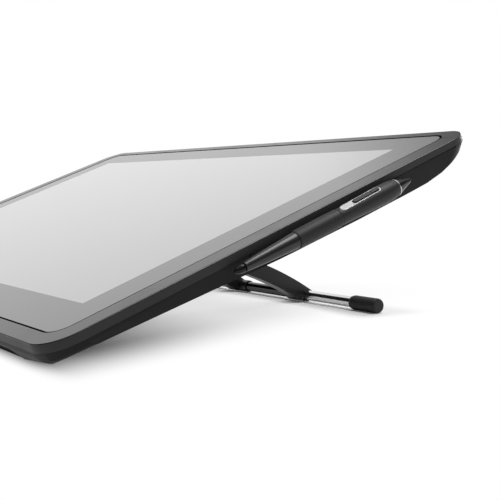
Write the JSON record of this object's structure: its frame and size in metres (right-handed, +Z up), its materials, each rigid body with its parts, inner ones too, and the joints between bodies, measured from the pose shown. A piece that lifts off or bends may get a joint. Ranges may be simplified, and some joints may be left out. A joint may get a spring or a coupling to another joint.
{
  "type": "graphics tablet with screen",
  "caption": "Wide pen display with a boat-shaped rear cover, raised at the back on a folding stand with a floor bar, its pen docked along the right side.",
  "frame": {"origin": "middle of the front foot's sole, on the desk", "axes": "+X to the right along the screen's width, +Y to the rear, +Z up"},
  "size_m": [0.583, 0.3589, 0.1497],
  "materials": {
    "front_frame": "fine satin",
    "cover_sheet": "etched, over a light screen",
    "lcd_panel": "smooth",
    "backlight_unit": "white",
    "sensor_board": "solder mask",
    "chassis_plate": "rolled",
    "chassis_screws": "plated",
    "main_board": "solder mask",
    "board_shield": "tinned",
    "hdmi_socket": "plated",
    "usb_socket": "plated",
    "dc_socket": "satin",
    "rear_cover": "fine grain",
    "cover_screws": "black oxide",
    "front_foot": "matt",
    "dock_liner": "matt",
    "dock_magnets": "nickel",
    "hinge_brackets": "powder coat",
    "bracket_screws": "black oxide",
    "hinge_pin": "ground",
    "stand_arms": "powder coat",
    "hinge_bushes": "natural",
    "stand_bar": "polished",
    "bar_cap_left": "matt",
    "bar_cap_right": "matt",
    "bar_screws": "plain",
    "pen_barrel": "dark metallic",
    "pen_grip": "soft touch",
    "pen_nose": "soft touch",
    "pen_ring": "turned",
    "pen_cone": "gloss",
    "pen_core": "moulded",
    "pen_coil": "enamelled wire",
    "switch_plate": "satin",
    "power_button": "satin",
    "switch_rocker": "satin",
    "pen_nib": "smooth",
    "pen_eraser": "gloss"
  },
  "bodies": {
    "display": {"front_frame": "front_frame", "cover_sheet": "cover_sheet", "lcd_panel": "lcd_panel", "backlight_unit": "backlight_unit", "sensor_board": "sensor_board", "chassis_plate": "chassis_plate", "chassis_screws": "chassis_screws", "main_board": "main_board", "board_shield": "board_shield", "hdmi_socket": "hdmi_socket", "usb_socket": "usb_socket", "dc_socket": "dc_socket", "rear_cover": "rear_cover", "cover_screws": "cover_screws", "front_foot": "front_foot", "dock_liner": "dock_liner", "dock_magnets": "dock_magnets", "hinge_brackets": "hinge_brackets", "bracket_screws": "bracket_screws", "hinge_pin": "hinge_pin"},
    "power": {"power_button": "power_button"},
    "stand": {"stand_arms": "stand_arms", "hinge_bushes": "hinge_bushes", "stand_bar": "stand_bar", "bar_cap_left": "bar_cap_left", "bar_cap_right": "bar_cap_right", "bar_screws": "bar_screws"},
    "pen": {"pen_barrel": "pen_barrel", "pen_grip": "pen_grip", "pen_nose": "pen_nose", "pen_ring": "pen_ring", "pen_cone": "pen_cone", "pen_core": "pen_core", "pen_coil": "pen_coil", "switch_plate": "switch_plate"},
    "rocker": {"switch_rocker": "switch_rocker"},
    "nib": {"pen_nib": "pen_nib"},
    "eraser": {"pen_eraser": "pen_eraser"}
  },
  "joints": [
    {"name": "stand_fold", "type": "hinge", "parent": "display", "child": "stand", "pos_m": [0, 0.17831, 0.05221], "axis": [1, 0, 0], "range_deg": [-50, 33]},
    {"name": "pen_lift", "type": "slide", "parent": "display", "child": "pen", "axis": [1, 0, 0], "range_m": [0, 0.12]},
    {"name": "nib_press", "type": "slide", "parent": "pen", "child": "nib", "axis": [0, -0.9323, -0.3616], "range_m": [0, 0.0012], "stiffness_N_per_m": 400},
    {"name": "eraser_press", "type": "slide", "parent": "pen", "child": "eraser", "axis": [0, 0.9323, 0.3616], "range_m": [0, 0.0008], "stiffness_N_per_m": 500},
    {"name": "switch_rock", "type": "hinge", "parent": "pen", "child": "rocker", "pos_m": [0.29334, 0.18766, 0.10195], "axis": [0.9135, 0.1471, -0.3792], "range_deg": [-2.5, 2.5], "stiffness_Nm_per_rad": 0.4},
    {"name": "power_press", "type": "slide", "parent": "display", "child": "power", "axis": [0, -0.9323, -0.3616], "range_m": [0, 0.0003], "stiffness_N_per_m": 900}
  ]
}
